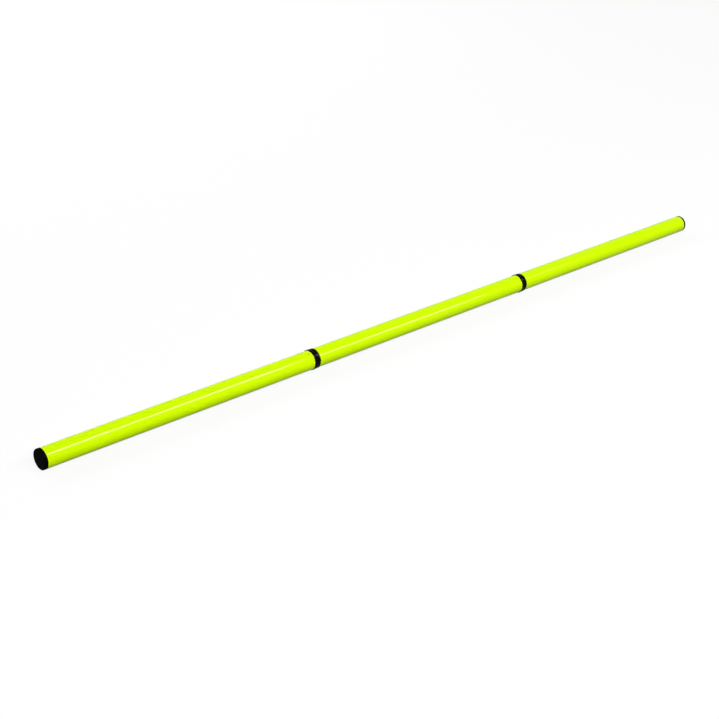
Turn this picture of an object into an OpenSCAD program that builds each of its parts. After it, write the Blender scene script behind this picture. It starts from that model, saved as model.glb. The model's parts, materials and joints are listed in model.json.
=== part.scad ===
// Sectional pole: three push-fit tubes with a capped end each way.
// The pole lies along X with its ground end at -X. The origin is at mid length, straight below
// the axis, at the height of the lowest point. Millimetres.

/* [Tubes] */
// Outer diameter of the three tubes
tube_d = 32; // [30:0.5:40]
// Wall of the tubes
tube_wall = 2; // [1.5:0.1:2.4]
// Length of each tube
tube_l = 490; // [200:5:700]
// Chamfer left on the cut tube ends, outside and inside
tube_chamfer = 0.3; // [0.1:0.1:0.5]

/* [Joint flanges] */
// Width of each of the two flanges that make up a joint ring
flange_w = 6; // [4:0.25:10]
// How far the spigot's flange stands proud of the tube
spigot_lip = 1; // [0.1:0.1:1.5]
// How far the socket's flange stands proud of the tube
socket_lip = 0.6; // [0.1:0.1:1.5]
// Rounding of the two edges that meet at the seam, which leaves a groove round the ring
seam_round = 1.8; // [0.4:0.1:2]

/* [Spigot] */
// Length of the spigot beyond its flange
spigot_l = 46; // [32:1:60]
// Radius of the spigot over its ribs
spigot_r = 10.95; // [9:0.05:11.2]
// Radial gap between the spigot's ribs and the socket's bore
spigot_gap = 0.05; // [0.03:0.01:0.09]
// Number of ribs along the spigot
rib_count = 8; // [4:4:12]
// Width of a rib
rib_w = 2.2; // [1:0.1:3]
// Height of the ribs above the spigot's wall
rib_h = 0.6; // [0.3:0.1:0.9]
// Width of the slots that split the nose into fingers
slot_w = 2.2; // [1.2:0.1:3]
// Length of the slots
slot_l = 20; // [8:1:26]

/* [Press-fit shanks] */
// Length of a joint moulding inside its tube
shank_l = 34; // [26:1:60]
// Number of barbs round a shank
barb_count = 5; // [3:1:6]
// Interference between a barb and the tube's bore, on the radius
barb_press = 0.05; // [0:0.01:0.1]
// Wall of the moulded shanks, sleeves and plugs
moulded_wall = 2.2; // [1.6:0.1:2.6]

/* [End caps] */
// Thickness of the cap's flange
cap_flange_w = 5; // [2:0.5:6]
// Rounding of the cap's outer edge
cap_round = 0.9; // [0.4:0.1:1.6]
// Length of the cap's plug inside the tube
cap_plug_l = 22; // [16:1:40]
// Number of fins round the plug
cap_fin_count = 4; // [2:1:5]

/* [Hidden] */
$fn = 96;

tube_r = tube_d / 2;
bore_r = tube_r - tube_wall;
spigot_flange_r = tube_r + spigot_lip;
socket_flange_r = tube_r + socket_lip;
socket_bore_r = spigot_r + spigot_gap;
axis_z = max(spigot_flange_r, socket_flange_r);

// stations along the pole, from its middle
ring_w = 2 * flange_w;
section_pitch = tube_l + ring_w;
lower_seam_x = -section_pitch / 2;
upper_seam_x = section_pitch / 2;
end_x = lower_seam_x - flange_w - tube_l - cap_flange_w;

tube_color = [0.82, 0.98, 0.02];
moulding_color = [0.05, 0.05, 0.055];

// barbs and fins, as [ramp, flat top], and the lead-in at a moulding's free end
barb = [2.6, 0.8];
fin = [1.6, 0.6];
lead_in = 1.2;
barb_h = 0.8;               // how far the bore stands off a shank or sleeve between its barbs
fin_h = 1.6;                // the same for the cap's plug and its fins
shank_root = bore_r - barb_h;
plug_root = bore_r - fin_h;

// other details of the mouldings
web_w = 1.6;                // thickness of the webs that stiffen a hollow
web_set_back = 3;           // how far the webs stop short of an open end
collar_l = 5;               // full-round root of the spigot
nose_l = 4;                 // tapered end of the spigot
nose_in = 1.5;              // how far the taper comes in, on the radius
slot_relief_d = slot_w + 0.8;
sleeve_spare = 2;           // how far the socket's sleeve runs past the spigot's nose
mouth = 1.2;                // lead-in chamfer at the socket's mouth
cap_back_round = 0.2;       // rounding of the cap's inner edge, against the tube
over = 1;                   // how far a cutter runs past what it cuts

// ---- sections, drawn with the radius across and the pole's length upwards ----

// Half of a solid disc with a different rounding on each outer edge, standing on y = 0
module disc_section(outer, width, low_round, high_round) {
    translate([0, low_round]) square([outer, width - low_round - high_round]);
    square([outer - low_round, width / 2]);
    translate([0, width / 2]) square([outer - high_round, width / 2]);
    translate([outer - low_round, low_round]) circle(low_round);
    translate([outer - high_round, width - high_round]) circle(high_round);
}

// Half of a barbed plug: every tooth ramps up from the free end at y = 0 and drops square
module barbed_section(root, length, count, tooth) {
    ramp = tooth[0];
    land = tooth[1];
    crest = bore_r + barb_press;
    pitch = (length - lead_in - land) / count;
    polygon(concat(
        [[0, 0], [root - lead_in / 2, 0], [root, lead_in]],
        [for (i = [0 : count - 1]) let (y = lead_in + i * pitch) each
            [[root, y], [crest, y + ramp], [crest, y + ramp + land], [root, y + ramp + land]]],
        [[root, length], [0, length]]
    ));
}

// Stands a turned or moulded piece, drawn along Z, on the pole's axis
module on_axis(x, flipped = false) {
    translate([x, 0, axis_z]) rotate([0, flipped ? -90 : 90, 0]) children();
}

// ---- the pieces ----

// A cut length of tube, from z = 0, with its saw edges broken
module tube() {
    c = tube_chamfer;
    rotate_extrude() polygon([
        [bore_r + c, 0], [tube_r - c, 0], [tube_r, c], [tube_r, tube_l - c],
        [tube_r - c, tube_l], [bore_r + c, tube_l], [bore_r, tube_l - c], [bore_r, c]
    ]);
}

// The outside of a spigot, from z = 0: a full collar at its root, ribs, and a tapered nose
module spigot_body() {
    difference() {
        rotate_extrude() polygon([
            [0, 0], [spigot_r, 0], [spigot_r, spigot_l - nose_l],
            [spigot_r - nose_in, spigot_l], [0, spigot_l]
        ]);
        // the hollows between the ribs
        translate([0, 0, collar_l]) difference() {
            cylinder(r = spigot_r + over, h = spigot_l);
            translate([0, 0, -over]) cylinder(r = spigot_r - rib_h, h = spigot_l + 2 * over);
            for (i = [0 : rib_count - 1]) rotate((i + 0.5) * 360 / rib_count)
                translate([spigot_r / 2, -rib_w / 2, -over])
                    cube([spigot_r, rib_w, spigot_l + 2 * over]);
        }
    }
}

// Two crossing slots that split the nose into four fingers, each ending in a round relief
module nose_slots() {
    reach = spigot_r + over;
    for (turn = [0, 90]) rotate(turn) translate([0, 0, spigot_l - slot_l]) {
        translate([-reach, -slot_w / 2, 0]) cube([2 * reach, slot_w, slot_l + over]);
        rotate([0, 90, 0]) cylinder(d = slot_relief_d, h = 2 * reach, center = true);
    }
}

// Male half of a joint. The seam is at z = 0, the spigot above it, the flange and shank below.
module spigot_moulding() {
    shank_core = shank_root - moulded_wall;
    spigot_core = spigot_r - rib_h - moulded_wall;
    shank_z = -flange_w - shank_l;
    difference() {
        union() {
            translate([0, 0, shank_z])
                rotate_extrude() barbed_section(shank_root, shank_l, barb_count, barb);
            translate([0, 0, -flange_w])
                rotate_extrude() disc_section(spigot_flange_r, flange_w, spigot_lip, seam_round);
            spigot_body();
        }
        // hollow right through, and wider in the shank, where webs stand in it
        translate([0, 0, shank_z - over])
            cylinder(r = spigot_core, h = shank_l + flange_w + spigot_l + 2 * over);
        translate([0, 0, shank_z - over]) difference() {
            cylinder(r = shank_core, h = shank_l + over - web_w);
            for (turn = [0, 60, 120]) rotate(turn)
                translate([-shank_core - over, -web_w / 2, over + web_set_back])
                    cube([2 * (shank_core + over), web_w, shank_l]);
        }
        nose_slots();
    }
}

// Female half of a joint. The seam is at z = 0, with the flange and the sleeve above it.
module socket_moulding() {
    sleeve_l = spigot_l - flange_w + sleeve_spare;
    difference() {
        union() {
            rotate_extrude() disc_section(socket_flange_r, flange_w, seam_round, socket_lip);
            translate([0, 0, flange_w + sleeve_l]) mirror([0, 0, 1])
                rotate_extrude() barbed_section(shank_root, sleeve_l, barb_count, barb);
        }
        translate([0, 0, -over]) cylinder(r = socket_bore_r, h = flange_w + sleeve_l + 2 * over);
        // lead-in at the mouth
        translate([0, 0, -over])
            cylinder(r1 = socket_bore_r + mouth + over, r2 = socket_bore_r, h = mouth + over);
    }
}

// Plug for a tube's end. Its flat face is at z = 0 and its finned plug above.
module cap_moulding() {
    plug_core = plug_root - moulded_wall;
    difference() {
        union() {
            rotate_extrude() disc_section(tube_r, cap_flange_w, cap_round, cap_back_round);
            translate([0, 0, cap_flange_w + cap_plug_l]) mirror([0, 0, 1])
                rotate_extrude() barbed_section(plug_root, cap_plug_l, cap_fin_count, fin);
        }
        // hollow plug with a cross of webs, set back from its open end
        translate([0, 0, cap_flange_w]) difference() {
            cylinder(r = plug_core, h = cap_plug_l + over);
            for (turn = [0, 90]) rotate(turn)
                translate([-plug_core - over, -web_w / 2, -over])
                    cube([2 * (plug_core + over), web_w, cap_plug_l + over - web_set_back]);
        }
    }
}

module lower_end_cap() {
    color(moulding_color) on_axis(end_x) cap_moulding();
}

module lower_tube() {
    color(tube_color) on_axis(end_x + cap_flange_w) tube();
}

module lower_joint_spigot() {
    color(moulding_color) on_axis(lower_seam_x) spigot_moulding();
}

module lower_joint_socket() {
    color(moulding_color) on_axis(lower_seam_x) socket_moulding();
}

module middle_tube() {
    color(tube_color) on_axis(lower_seam_x + flange_w) tube();
}

module upper_joint_spigot() {
    color(moulding_color) on_axis(upper_seam_x) spigot_moulding();
}

module upper_joint_socket() {
    color(moulding_color) on_axis(upper_seam_x) socket_moulding();
}

module upper_tube() {
    color(tube_color) on_axis(upper_seam_x + flange_w) tube();
}

module upper_end_cap() {
    color(moulding_color) on_axis(-end_x, flipped = true) cap_moulding();
}

lower_end_cap();
lower_tube();
lower_joint_spigot();
lower_joint_socket();
middle_tube();
upper_joint_spigot();
upper_joint_socket();
upper_tube();
upper_end_cap();
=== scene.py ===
import json
import math

import bmesh
import bpy
from mathutils import Matrix, Vector

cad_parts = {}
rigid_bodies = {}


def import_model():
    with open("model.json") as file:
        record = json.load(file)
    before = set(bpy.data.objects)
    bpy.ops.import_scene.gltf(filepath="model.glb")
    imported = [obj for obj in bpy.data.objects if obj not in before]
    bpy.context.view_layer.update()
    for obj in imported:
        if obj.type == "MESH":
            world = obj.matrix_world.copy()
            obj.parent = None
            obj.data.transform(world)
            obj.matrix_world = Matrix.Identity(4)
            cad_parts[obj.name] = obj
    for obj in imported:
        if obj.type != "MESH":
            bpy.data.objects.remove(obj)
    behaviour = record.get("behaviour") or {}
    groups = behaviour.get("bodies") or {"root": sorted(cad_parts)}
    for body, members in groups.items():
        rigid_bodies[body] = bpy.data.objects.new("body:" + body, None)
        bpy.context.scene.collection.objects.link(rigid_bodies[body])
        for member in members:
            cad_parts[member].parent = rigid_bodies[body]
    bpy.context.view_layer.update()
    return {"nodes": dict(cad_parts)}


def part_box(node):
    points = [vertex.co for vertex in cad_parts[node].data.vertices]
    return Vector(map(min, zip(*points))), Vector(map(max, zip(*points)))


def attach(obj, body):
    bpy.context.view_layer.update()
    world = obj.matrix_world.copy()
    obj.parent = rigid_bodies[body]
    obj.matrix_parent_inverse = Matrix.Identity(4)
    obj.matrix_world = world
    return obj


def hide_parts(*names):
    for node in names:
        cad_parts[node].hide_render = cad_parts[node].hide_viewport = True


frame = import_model()
bpy.context.scene.view_settings.view_transform = "Standard"


# ---- Camera ----
# The pole lies along X. The camera stands in front of its lower end, to the left and above, and
# is held level, so the pole runs from near left to far right. Its lens is a 70 mm one.

CAMERA_AIM = Vector((-0.1583, -0.0136, -0.0073))   # just below the middle tube, near its lower end
CAMERA_DISTANCE = 2.3085
CAMERA_TURN = math.radians(43.025)                # to the right of looking straight along +Y
CAMERA_DIP = math.radians(24.018)                 # below the horizon
LENS_MM = 70.1

camera = bpy.data.objects.new("camera", bpy.data.cameras.new("camera"))
camera.data.lens = LENS_MM
camera.data.sensor_width = 36      # full frame
camera.rotation_euler = (math.pi / 2 - CAMERA_DIP, 0, -CAMERA_TURN)
looking = camera.rotation_euler.to_matrix() @ Vector((0, 0, -1))
camera.location = CAMERA_AIM - looking * CAMERA_DISTANCE
bpy.context.scene.collection.objects.link(camera)
bpy.context.scene.camera = camera


# ---- Tubes ----
# Three equal lengths of PVC tube, extruded with a fluorescent yellow-green pigment all through,
# so even the cut ends are that colour. Each is sawn to length and its sharp edges are broken.

MM = 0.001
TUBE_RADIUS = 16.0 * MM
TUBE_WALL = 2.0 * MM
SAW_EDGE = 0.3 * MM             # chamfer left by deburring
FACES_ROUND_TUBE = 160          # too many to see the flats
WELD = 0.005 * MM               # points closer than this become one
SAME_PLACE = 0.01 * MM          # and closer than this they count as being at one place
CRISP = math.radians(28)        # faces that meet at a sharper angle keep a crisp edge
DIE_LINE_SPACING = 0.7 * MM     # round the tube, coarser than real die lines, so that they show
DIE_LINE_LENGTH = 200 * MM
PIGMENT_CLOUD = 60 * MM
TUBE_SPECULAR = 0.02            # low, because the dense pigment drowns the surface reflection

low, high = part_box("lower_tube")
axis_z = (low.z + high.z) / 2


def linear(hex_colour):
    """An sRGB colour such as "#D4FC08" as the linear RGBA that a shader takes."""
    parts = [int(hex_colour[i:i + 2], 16) / 255 for i in (1, 3, 5)]
    return [p / 12.92 if p <= 0.04045 else ((p + 0.055) / 1.055) ** 2.4 for p in parts] + [1.0]


def add(owner, kind, inputs=None, **settings):
    """Adds a node to a material or a world. Its settings are set by name, and an input takes a
    value or another socket."""
    tree = owner.node_tree
    made = tree.nodes.new("ShaderNode" + kind)
    for name, value in settings.items():
        setattr(made, name, value)
    for name, value in (inputs or {}).items():
        if isinstance(value, bpy.types.NodeSocket):
            tree.links.new(value, made.inputs[name])
        else:
            made.inputs[name].default_value = value
    return made


def turned(outline, steps):
    """A solid of revolution round the pole's axis, from a closed outline of (x, radius) points."""
    bm = bmesh.new()
    points = [bm.verts.new((x, 0, axis_z + radius)) for x, radius in outline]
    for a, b in zip(points, points[1:] + points[:1]):
        bm.edges.new((a, b))
    bmesh.ops.spin(bm, geom=bm.verts[:] + bm.edges[:], cent=(0, 0, axis_z), axis=(1, 0, 0),
                   dvec=(0, 0, 0), angle=math.tau, steps=steps, use_merge=True)
    bmesh.ops.remove_doubles(bm, verts=bm.verts, dist=WELD)
    bmesh.ops.recalc_face_normals(bm, faces=bm.faces)
    return bm


def make_piece(name, bm, material, node, body):
    """Turns a mesh into a piece that stands for a CAD node, smooth except across real edges."""
    for edge in bm.edges:
        edge.smooth = edge.calc_face_angle(0) < CRISP
    for face in bm.faces:
        face.smooth = True
    mesh = bpy.data.meshes.new(name)
    bm.to_mesh(mesh)
    bm.free()
    mesh.materials.append(material)
    piece = bpy.data.objects.new(name, mesh)
    bpy.context.scene.collection.objects.link(piece)
    # a flat or straight face keeps its own shading right up to the rounding beside it
    even = piece.modifiers.new("even_shading", "WEIGHTED_NORMAL")
    even.keep_sharp = True
    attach(piece, body)
    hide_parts(node)
    return piece


def tube_material():
    """Extruded PVC: glossy and even, with faint draw lines from the die along its length."""
    material = bpy.data.materials.new("extruded_fluorescent_pvc")
    material.use_nodes = True
    shader = material.node_tree.nodes["Principled BSDF"]
    place = add(material, "TexCoord").outputs["Object"]
    axes = add(material, "SeparateXYZ", {"Vector": place}).outputs

    # distance round the tube, with its join underneath, and distance along it
    height = add(material, "Math", {0: axes["Z"], 1: axis_z}, operation="SUBTRACT").outputs[0]
    angle = add(material, "Math", {0: axes["Y"], 1: height}, operation="ARCTAN2").outputs[0]
    across = add(material, "Math", {0: angle, 1: TUBE_RADIUS}, operation="MULTIPLY").outputs[0]
    unrolled = add(material, "CombineXYZ", {"X": axes["X"], "Y": across}).outputs[0]

    # die lines: a noise drawn out along the tube
    lines_place = add(material, "Mapping", {"Vector": unrolled, "Scale": (1 / DIE_LINE_LENGTH,
                                                                          1 / DIE_LINE_SPACING, 1)})
    lines = add(material, "TexNoise", {"Vector": lines_place.outputs[0], "Scale": 1.0,
                                       "Detail": 2.0})
    relief = add(material, "Bump", {"Height": lines.outputs["Fac"], "Strength": 0.15,
                                    "Distance": 0.01 * MM})

    # the pigment isn't stirred in quite evenly
    cloud = add(material, "TexNoise", {"Vector": place, "Scale": 1 / PIGMENT_CLOUD, "Detail": 3.0})
    tint = add(material, "Mix", {"Factor": cloud.outputs["Fac"], "A": linear("#D4FC00"),
                                 "B": linear("#CFFA00")}, data_type="RGBA")

    # the die leaves some lines glossier than others
    gloss = add(material, "MapRange", {"Value": lines.outputs["Fac"], "From Min": 0.35,
                                       "From Max": 0.65, "To Min": 0.09, "To Max": 0.14})

    tree = material.node_tree
    tree.links.new(tint.outputs["Result"], shader.inputs["Base Color"])
    tree.links.new(gloss.outputs[0], shader.inputs["Roughness"])
    tree.links.new(relief.outputs[0], shader.inputs["Normal"])
    shader.inputs["IOR"].default_value = 1.53
    shader.inputs["Specular IOR Level"].default_value = TUBE_SPECULAR
    return material


fluorescent_pvc = tube_material()

for section in ("lower", "middle", "upper"):
    node = section + "_tube"
    low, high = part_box(node)
    bore = TUBE_RADIUS - TUBE_WALL
    wall = [(low.x, bore), (low.x, TUBE_RADIUS), (high.x, TUBE_RADIUS), (high.x, bore)]
    bm = turned(wall, FACES_ROUND_TUBE)
    rims = [e for e in bm.edges if abs(e.verts[0].co.x - e.verts[1].co.x) < SAME_PLACE
            and e.calc_face_angle(0) > CRISP]
    bmesh.ops.bevel(bm, geom=rims, offset=SAW_EDGE, affect="EDGES", segments=3, profile=0.5,
                    material=-1)
    tube = make_piece(section + "_pvc_tube", bm, fluorescent_pvc, node, section + "_section")


# ---- Joint spigots ----
# The male half of each push-fit joint, one black polypropylene moulding. Its barbed shank is
# pressed in a tube, its rounded flange sits on the tube's end, and its ribbed spigot, split into
# four springy fingers, slides into the next section.

FACES_ROUND_MOULDING = 192      # a multiple of 16, so ribs keep whole columns of faces
MOULDED_WALL = 2.2 * MM
LEAD_IN = 1.2 * MM              # taper at a plug's free end
BITE = 0.05 * MM                # how far a barb's or fin's crest bites into the tube's bore
SHANK_ROOT = 13.2 * MM          # radius between the barbs
SHANK_CORE = SHANK_ROOT - MOULDED_WALL
BARBS = 5
BARB_RAMP = 2.6 * MM
BARB_TOP = 0.8 * MM
WEB = 1.6 * MM
WEB_SET_BACK = 3.0 * MM         # from a plug's open end
WEB_ROOT = 0.5 * MM             # how far a web runs into the wall that carries it
SPIGOT_RADIUS = 10.95 * MM      # over the ribs
RIBS = 8
RIB_HEIGHT = 0.6 * MM
RIB_WIDTH = 2.2 * MM
SPIGOT_VALLEY = SPIGOT_RADIUS - RIB_HEIGHT
SPIGOT_CORE = SPIGOT_VALLEY - MOULDED_WALL
COLLAR = 5.0 * MM               # full round at the spigot's root
NOSE = 4.0 * MM
NOSE_IN = 1.5 * MM              # how far the nose comes in, on the radius
SLOT = 2.2 * MM
SLOT_LENGTH = 20.0 * MM
SLOT_RELIEF = 1.5 * MM          # radius of the round end of a slot
SEAM_ROUND = 1.8 * MM           # rounding of a flange's edge at the seam
PAST = 1.0 * MM                 # how far a cutter runs past what it cuts
GRAIN = 0.4 * MM                # coarser than the 0.15 mm of a real mould, so that it shows
FLOW_BAND = 9 * MM              # width of the bands that the melt's flow leaves
PARTING_LINE_ANGLE = 40         # of the plane where the mould's halves meet, in degrees


def barbs(free_end, length, root, count, ramp, top):
    """Outline of a barbed wall from its free end; a negative length runs it towards -X."""
    way = math.copysign(1, length)
    pitch = (abs(length) - LEAD_IN - top) / count
    crest = TUBE_RADIUS - TUBE_WALL + BITE
    points = [(0, root - LEAD_IN / 2)]
    for i in range(count):
        start = LEAD_IN + i * pitch
        drop = start + ramp + top
        points += [(start, root), (start + ramp, crest), (drop, crest), (drop, root)]
    points.append((abs(length), root))
    return [(free_end + way * along, radius) for along, radius in points]


def round_rings(bm, rings):
    """Rounds the circular edges at each (x, radius), by the rounding given with them."""
    for x, radius, rounding in rings:
        edges = [e for e in bm.edges
                 if all(abs(v.co.x - x) < SAME_PLACE
                        and abs(math.hypot(v.co.y, v.co.z - axis_z) - radius) < SAME_PLACE
                        for v in e.verts)]
        bmesh.ops.bevel(bm, geom=edges, offset=rounding, affect="EDGES", segments=6, profile=0.5,
                        material=-1)


def draw_in(bm, chosen, radius):
    """Moves the chosen faces of a turned piece to another radius, with walls round them."""
    made = bmesh.ops.extrude_face_region(bm, geom=chosen)
    bmesh.ops.delete(bm, geom=chosen, context="FACES")
    for v in [g for g in made["geom"] if isinstance(g, bmesh.types.BMVert)]:
        out = Vector((0, v.co.y, v.co.z - axis_z))
        v.co += out.normalized() * (radius - out.length)
    bmesh.ops.remove_doubles(bm, verts=bm.verts, dist=WELD)
    bmesh.ops.recalc_face_normals(bm, faces=bm.faces)


def combined(bm, others, operation):
    """The mesh after a boolean with each of the other meshes, which are used up."""
    held = []
    for part in [bm] + others:
        mesh = bpy.data.meshes.new("working")
        part.to_mesh(mesh)
        part.free()
        held.append(bpy.data.objects.new("working", mesh))
        bpy.context.scene.collection.objects.link(held[-1])
    for other in held[1:]:
        modifier = held[0].modifiers.new("cut", "BOOLEAN")
        modifier.operation = operation
        modifier.solver = "EXACT"
        modifier.object = other
    result = bmesh.new()
    result.from_object(held[0], bpy.context.evaluated_depsgraph_get())
    for part in held:
        bpy.data.objects.remove(part)
    return result


def plate(x_from, x_to, reach, thickness, turn):
    """A flat plate through the pole's axis, reach to either side of it, turned about it."""
    bm = bmesh.new()
    bmesh.ops.create_cube(bm, size=1)
    bmesh.ops.scale(bm, verts=bm.verts, vec=(x_to - x_from, 2 * reach, thickness))
    bmesh.ops.rotate(bm, verts=bm.verts, matrix=Matrix.Rotation(math.radians(turn), 3, "X"))
    bmesh.ops.translate(bm, verts=bm.verts, vec=((x_from + x_to) / 2, 0, axis_z))
    return bm


def pin(x, radius, reach, turn):
    """A round pin across the pole's axis at x."""
    bm = bmesh.new()
    bmesh.ops.create_cone(bm, cap_ends=True, segments=32, radius1=radius, radius2=radius,
                          depth=2 * reach)
    bmesh.ops.rotate(bm, verts=bm.verts, matrix=Matrix.Rotation(math.radians(90 + turn), 3, "X"))
    bmesh.ops.translate(bm, verts=bm.verts, vec=(x, 0, axis_z))
    return bm


def moulded_material(name, dullest, glossiest, specular):
    """Black plastic from a spark-eroded mould: a finely grained skin, with a parting line along
    both sides. Its roughness runs from glossiest to dullest."""
    material = bpy.data.materials.new(name)
    material.use_nodes = True
    shader = material.node_tree.nodes["Principled BSDF"]
    place = add(material, "TexCoord").outputs["Object"]

    grain = add(material, "TexNoise", {"Vector": place, "Scale": 1 / GRAIN, "Detail": 2.0})

    # the parting line: raised, 0.2 mm wide, in the slanting plane where the mould's halves meet
    turn_to_plane = add(material, "VectorRotate", {"Vector": place, "Center": (0, 0, axis_z),
                                                   "Angle": math.radians(PARTING_LINE_ANGLE)},
                        rotation_type="X_AXIS")
    off_plane = add(material, "SeparateXYZ", {"Vector": turn_to_plane.outputs[0]}).outputs["Y"]
    off_plane = add(material, "Math", {0: off_plane}, operation="ABSOLUTE").outputs[0]
    line = add(material, "MapRange", {"Value": off_plane, "From Min": 0.05 * MM,
                                      "From Max": 0.15 * MM, "To Min": 1.0, "To Max": 0.0})
    grain_relief = add(material, "Bump", {"Height": grain.outputs["Fac"], "Strength": 0.3,
                                          "Distance": 0.02 * MM})
    relief = add(material, "Bump", {"Height": line.outputs[0], "Strength": 0.8,
                                    "Distance": 0.06 * MM, "Normal": grain_relief.outputs[0]})

    # the melt's flow leaves broad bands of slightly different gloss
    flow = add(material, "TexNoise", {"Vector": place, "Scale": 1 / FLOW_BAND, "Detail": 2.0})
    gloss = add(material, "MapRange", {"Value": flow.outputs["Fac"], "From Min": 0.3,
                                       "From Max": 0.7, "To Min": glossiest, "To Max": dullest})
    tint = add(material, "Mix", {"Factor": flow.outputs["Fac"], "A": linear("#040404"),
                                 "B": linear("#080809")}, data_type="RGBA")

    tree = material.node_tree
    tree.links.new(tint.outputs["Result"], shader.inputs["Base Color"])
    tree.links.new(gloss.outputs[0], shader.inputs["Roughness"])
    tree.links.new(relief.outputs[0], shader.inputs["Normal"])
    shader.inputs["IOR"].default_value = 1.49
    shader.inputs["Specular IOR Level"].default_value = specular
    return material


black_moulded = moulded_material("moulded_black_polypropylene", dullest=0.20, glossiest=0.14,
                                 specular=0.03)

for joint, section in (("lower", "lower"), ("upper", "middle")):
    node = joint + "_joint_spigot"
    low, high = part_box(node)
    shank_end, tip = low.x, high.x
    flange_radius = (high.z - low.z) / 2
    flange_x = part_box(section + "_tube")[1].x
    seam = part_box(joint + "_joint_socket")[0].x
    ribs_end = tip - NOSE + NOSE * RIB_HEIGHT / NOSE_IN
    shank = barbs(shank_end, flange_x - shank_end, SHANK_ROOT, BARBS, BARB_RAMP, BARB_TOP)
    outline = shank + [
        (flange_x, flange_radius), (seam, flange_radius), (seam, SPIGOT_RADIUS),
        (seam + COLLAR, SPIGOT_RADIUS), (tip - NOSE, SPIGOT_RADIUS), (ribs_end, SPIGOT_VALLEY),
        (tip, SPIGOT_RADIUS - NOSE_IN), (tip, SPIGOT_CORE), (flange_x - WEB, SPIGOT_CORE),
        (flange_x - WEB, SHANK_CORE), (shank_end, SHANK_CORE),
    ]
    bm = turned(outline, FACES_ROUND_MOULDING)

    # the hollows between the ribs
    rib_pitch = 360 / RIBS
    rib_half = math.degrees(RIB_WIDTH / 2 / SPIGOT_RADIUS)
    hollows = []
    for face in bm.faces:
        centre = face.calc_center_median()
        radius = math.hypot(centre.y, centre.z - axis_z)
        turn = math.degrees(math.atan2(centre.z - axis_z, centre.y)) % rib_pitch
        if (seam + COLLAR < centre.x < ribs_end and radius > SPIGOT_VALLEY
                and abs(turn - rib_pitch / 2) > rib_half):
            hollows.append(face)
    draw_in(bm, hollows, SPIGOT_VALLEY)
    round_rings(bm, [(flange_x, flange_radius, flange_radius - TUBE_RADIUS),
                     (seam, flange_radius, SEAM_ROUND)])

    # webs in the shank, and then the hollow and the slots that split the nose
    web_from = shank_end + WEB_SET_BACK
    web_to = flange_x - WEB + WEB_ROOT
    webs = [plate(web_from, web_to, SHANK_CORE + WEB_ROOT, WEB, turn) for turn in (0, 60, 120)]
    bm = combined(bm, webs, "UNION")
    bore_from = shank_end - PAST
    bore_to = (flange_x + seam) / 2
    bore = bmesh.new()
    bmesh.ops.create_cone(bore, cap_ends=True, segments=FACES_ROUND_MOULDING,
                          radius1=SPIGOT_CORE, radius2=SPIGOT_CORE, depth=bore_to - bore_from)
    bmesh.ops.rotate(bore, verts=bore.verts, matrix=Matrix.Rotation(math.pi / 2, 3, "Y"))
    bmesh.ops.translate(bore, verts=bore.verts, vec=((bore_from + bore_to) / 2, 0, axis_z))
    reach = SPIGOT_RADIUS + PAST
    slots = [plate(tip - SLOT_LENGTH, tip + PAST, reach, SLOT, turn) for turn in (0, 90)]
    slots += [pin(tip - SLOT_LENGTH, SLOT_RELIEF, reach, turn) for turn in (0, 90)]
    bm = combined(bm, [bore] + slots, "DIFFERENCE")
    spigot = make_piece(joint + "_male_moulding", bm, black_moulded, node, section + "_section")


# ---- Joint sockets ----
# The female half of each joint, from the same black polypropylene. Its barbed sleeve is pressed
# in the next tube and its rounded flange meets the spigot's, so the two make one black ring
# with a groove round its middle.

SOCKET_BORE = 11.0 * MM
MOUTH = 1.2 * MM                # lead-in chamfer for the spigot

for joint, section in (("lower", "middle"), ("upper", "upper")):
    node = joint + "_joint_socket"
    low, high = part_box(node)
    seam, sleeve_end = low.x, high.x
    flange_radius = (high.z - low.z) / 2
    flange_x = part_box(section + "_tube")[0].x
    sleeve = barbs(sleeve_end, flange_x - sleeve_end, SHANK_ROOT, BARBS, BARB_RAMP, BARB_TOP)
    outline = sleeve + [
        (flange_x, flange_radius), (seam, flange_radius), (seam, SOCKET_BORE + MOUTH),
        (seam + MOUTH, SOCKET_BORE), (sleeve_end, SOCKET_BORE),
    ]
    bm = turned(outline, FACES_ROUND_MOULDING)
    round_rings(bm, [(flange_x, flange_radius, flange_radius - TUBE_RADIUS),
                     (seam, flange_radius, SEAM_ROUND)])
    socket = make_piece(joint + "_female_moulding", bm, black_moulded, node, section + "_section")


# ---- End caps ----
# A plug of softer, duller black polyethylene in each end of the pole. Thin fins round it grip the
# tube's bore, and a flush flange closes the end. The sprue was snapped off in a small dimple in
# the face.

CAP_ROUND = 0.9 * MM
CAP_BACK_ROUND = 0.2 * MM       # rounding against the tube
PLUG_ROOT = 12.4 * MM           # radius between the fins
PLUG_CORE = PLUG_ROOT - MOULDED_WALL
FINS = 4
FIN_RAMP = 1.6 * MM
FIN_TOP = 0.6 * MM
DIMPLE = 0.3 * MM               # its depth
DIMPLE_RADIUS = 1.4 * MM
SPRUE_STUB = 0.15 * MM          # height of what is left of the sprue
SPRUE_RADIUS = 0.5 * MM
SPRUE_TIP_RADIUS = 0.35 * MM
black_cap = moulded_material("moulded_black_polyethylene", dullest=0.58, glossiest=0.48,
                             specular=0.005)

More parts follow.
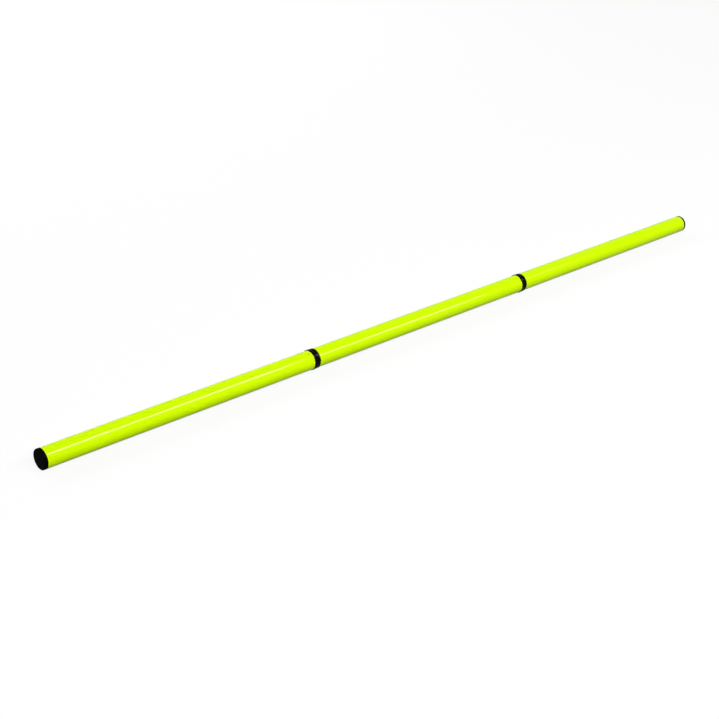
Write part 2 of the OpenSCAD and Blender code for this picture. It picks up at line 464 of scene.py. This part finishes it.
# near and far pick the side of a box that is at the pole's end, and the side away from it
for end, near, far in (("lower", 0, 1), ("upper", 1, 0)):
    node = end + "_end_cap"
    face_x, plug_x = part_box(node)[near].x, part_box(node)[far].x
    flange_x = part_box(end + "_tube")[near].x
    inward = math.copysign(1, plug_x - face_x)
    dimple_x = face_x + inward * DIMPLE
    stub_x = dimple_x - inward * SPRUE_STUB
    plug = barbs(plug_x, flange_x - plug_x, PLUG_ROOT, FINS, FIN_RAMP, FIN_TOP)
    outline = plug + [
        (flange_x, TUBE_RADIUS), (face_x, TUBE_RADIUS),
        (face_x, DIMPLE_RADIUS), (dimple_x, DIMPLE_RADIUS - DIMPLE), (dimple_x, SPRUE_RADIUS),
        (stub_x, SPRUE_TIP_RADIUS), (stub_x, 0),
        (flange_x, 0), (flange_x, PLUG_CORE), (plug_x, PLUG_CORE),
    ]
    bm = turned(outline, FACES_ROUND_MOULDING)
    round_rings(bm, [(flange_x, TUBE_RADIUS, CAP_BACK_ROUND), (face_x, TUBE_RADIUS, CAP_ROUND)])
    web_from, web_to = sorted((flange_x - inward * WEB_ROOT, plug_x - inward * WEB_SET_BACK))
    webs = [plate(web_from, web_to, PLUG_CORE + WEB_ROOT, WEB, turn) for turn in (0, 90)]
    bm = combined(bm, webs, "UNION")
    cap = make_piece(end + "_finned_cap", bm, black_cap, node, end + "_section")


# ---- Floor and light ----
# A wide white floor, with soft light from a long softbox in front, another behind and a weak
# world. Three narrow softboxes in a row stand above the pole, each for one section, and draw the
# thin bright line that runs along it.

FLOOR_SIZE = 60.0
FLOOR_BOUNCE = 0.08             # grey of the floor as the lamps' light finds it
FLOOR_SHADE = 0.12              # grey that the floor shows on top of its white, for the shadow
WHITE_SEEN = 0.88               # brightness that the floor and the far background show
WORLD_LIGHT = 0.15              # brightness of the world as a light
LAMP_AWAY = 4.0                 # from the pole's axis to a soft lamp
LAMP_LENGTH = 5.0
LAMP_DEPTH = 1.5
STRIP_AWAY = 1.2                # the same for the narrow lamps
STRIP_DEPTH = 0.22

floor_mesh = bpy.data.meshes.new("floor")
bm = bmesh.new()
bmesh.ops.create_grid(bm, x_segments=1, y_segments=1, size=FLOOR_SIZE / 2)
bm.to_mesh(floor_mesh)
bm.free()
floor = bpy.data.objects.new("floor", floor_mesh)
bpy.context.scene.collection.objects.link(floor)


def seen_rays(owner):
    """1 for a ray that shows things to the lens, directly or in a reflection, 0 for lighting."""
    rays = add(owner, "LightPath").outputs
    seen = add(owner, "Math", {0: rays["Is Camera Ray"], 1: rays["Is Glossy Ray"]},
               operation="MAXIMUM").outputs[0]
    return add(owner, "Math", {0: seen, 1: rays["Is Transmission Ray"]},
               operation="MAXIMUM").outputs[0]


# the lens and reflections see the floor white, with its shadow, and it throws little light back
floor_paint = bpy.data.materials.new("floor_paint")
floor_paint.use_nodes = True
matt = floor_paint.node_tree.nodes["Principled BSDF"]
matt.inputs["Base Color"].default_value = (FLOOR_BOUNCE, FLOOR_BOUNCE, FLOOR_BOUNCE, 1)
matt.inputs["Roughness"].default_value = 1.0
matt.inputs["Specular IOR Level"].default_value = 0.0
white = add(floor_paint, "Emission", {"Color": (1, 1, 1, 1), "Strength": WHITE_SEEN}).outputs[0]
shaded = add(floor_paint, "BsdfDiffuse",
             {"Color": (FLOOR_SHADE, FLOOR_SHADE, FLOOR_SHADE, 1)}).outputs[0]
shown = add(floor_paint, "AddShader", {0: white, 1: shaded}).outputs[0]
mixed = add(floor_paint, "MixShader",
            {0: seen_rays(floor_paint), 1: matt.outputs[0], 2: shown}).outputs[0]
floor_paint.node_tree.links.new(
    mixed, floor_paint.node_tree.nodes["Material Output"].inputs["Surface"])
floor_mesh.materials.append(floor_paint)

# the world is a weak light all round, and shows as white beyond the floor
world = bpy.data.worlds.new("studio")
world.use_nodes = True
bpy.context.scene.world = world
background = world.node_tree.nodes["Background"]
background.inputs["Color"].default_value = (1, 1, 1, 1)
strength = add(world, "MapRange", {"Value": seen_rays(world), "To Min": WORLD_LIGHT,
                                   "To Max": WHITE_SEEN})
world.node_tree.links.new(strength.outputs[0], background.inputs["Strength"])


def softbox(name, x, elevation, away, length, depth, radiance):
    """A long lamp beside the pole, at an angle above the horizon from its axis, facing it."""
    lamp = bpy.data.lights.new(name, "AREA")
    lamp.shape = "RECTANGLE"
    lamp.size, lamp.size_y = length, depth
    lamp.energy = radiance * math.pi * length * depth      # in watts
    holder = bpy.data.objects.new(name, lamp)
    holder.matrix_world = (Matrix.Translation((x, 0, axis_z))
                           @ Matrix.Rotation(math.pi / 2 - math.radians(elevation), 4, "X")
                           @ Matrix.Translation((0, 0, away)))
    holder.visible_camera = False
    bpy.context.scene.collection.objects.link(holder)
    return holder


for name, elevation, radiance in (("front_light", 37, 8.1), ("back_light", 151, 4.6)):
    lamp = softbox(name, 0, elevation, LAMP_AWAY, LAMP_LENGTH, LAMP_DEPTH, radiance)
    lamp.visible_glossy = False

camera_away = math.hypot(camera.location.y, camera.location.z - axis_z)
# where each section's line starts and ends along X, and its strip's elevation and radiance
for section, start_x, end_x, elevation, radiance in (
        ("lower", -0.82, -0.318, 52.5, 168.0),
        ("middle", -0.32, 0.118, 37.0, 98.0),
        ("upper", 0.20, 0.385, 46.5, 30.0)):
    # a strip lights the pieces named after its section alone, so its line stops short at a ring
    lit = bpy.data.collections.new(section + "_pieces")
    for piece in bpy.data.objects:
        if piece.name.startswith(section) and piece.name not in frame["nodes"]:
            lit.objects.link(piece)

    # a ray leaves the pole as steeply as it came, so this is where each end is reflected from
    start_x, end_x = (x + (x - camera.location.x) * STRIP_AWAY / camera_away
                      for x in (start_x, end_x))
    strip = softbox(section + "_strip", (start_x + end_x) / 2, elevation, STRIP_AWAY,
                    end_x - start_x, STRIP_DEPTH, radiance)
    strip.visible_diffuse = False
    strip.light_linking.receiver_collection = lit
